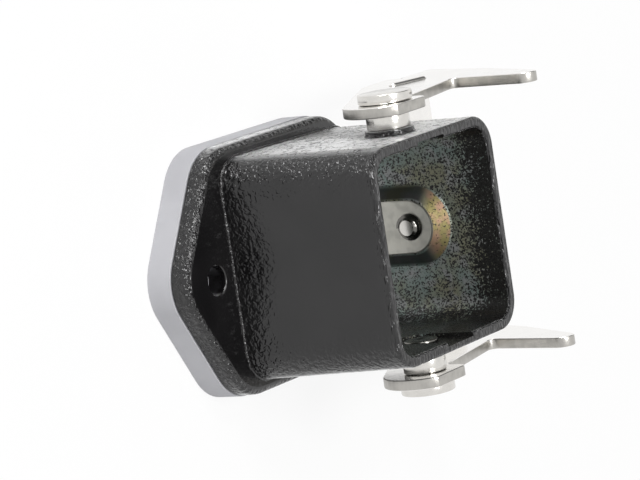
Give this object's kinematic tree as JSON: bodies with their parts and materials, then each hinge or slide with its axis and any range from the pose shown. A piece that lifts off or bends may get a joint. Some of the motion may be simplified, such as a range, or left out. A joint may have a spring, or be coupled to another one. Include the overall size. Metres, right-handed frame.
{
  "type": "heavy-duty connector housing",
  "caption": "Square connector housing with a bolted panel flange, a flange gasket and a U-shaped locking lever on rivets that holds a mating hood in its mouth.",
  "frame": {"origin": "centre of the gasket's panel face, midway between the mounting holes", "axes": "+Z along the mating axis, out of the mouth; +X along the mounting holes, towards the lever's strap; +Y along the lever's pivots"},
  "size_m": [0.0496, 0.0334, 0.028],
  "materials": {
    "body_paint": "glossy wrinkled black powder coat, bare metal inside",
    "gasket_rubber": "matte pale grey",
    "lever_steel": "bright rolled stainless",
    "rivet_steel": "turned stainless",
    "screw_steel": "turned stainless",
    "seal_rubber": "matte black"
  },
  "bodies": {
    "housing": {"housing_body": "body_paint", "flange_gasket": "gasket_rubber", "upper_pivot_rivet": "rivet_steel", "lower_pivot_rivet": "rivet_steel", "upper_pivot_spacer": "rivet_steel", "lower_pivot_spacer": "rivet_steel", "insert_screw": "screw_steel", "screw_seal": "seal_rubber"},
    "lever": {"locking_lever": "lever_steel"}
  },
  "joints": [
    {"name": "lever_hinge", "type": "hinge", "parent": "housing", "child": "lever", "pos_m": [0, 0, 0.0187], "axis": [0, -1, 0], "range_deg": [0, 85]}
  ]
}
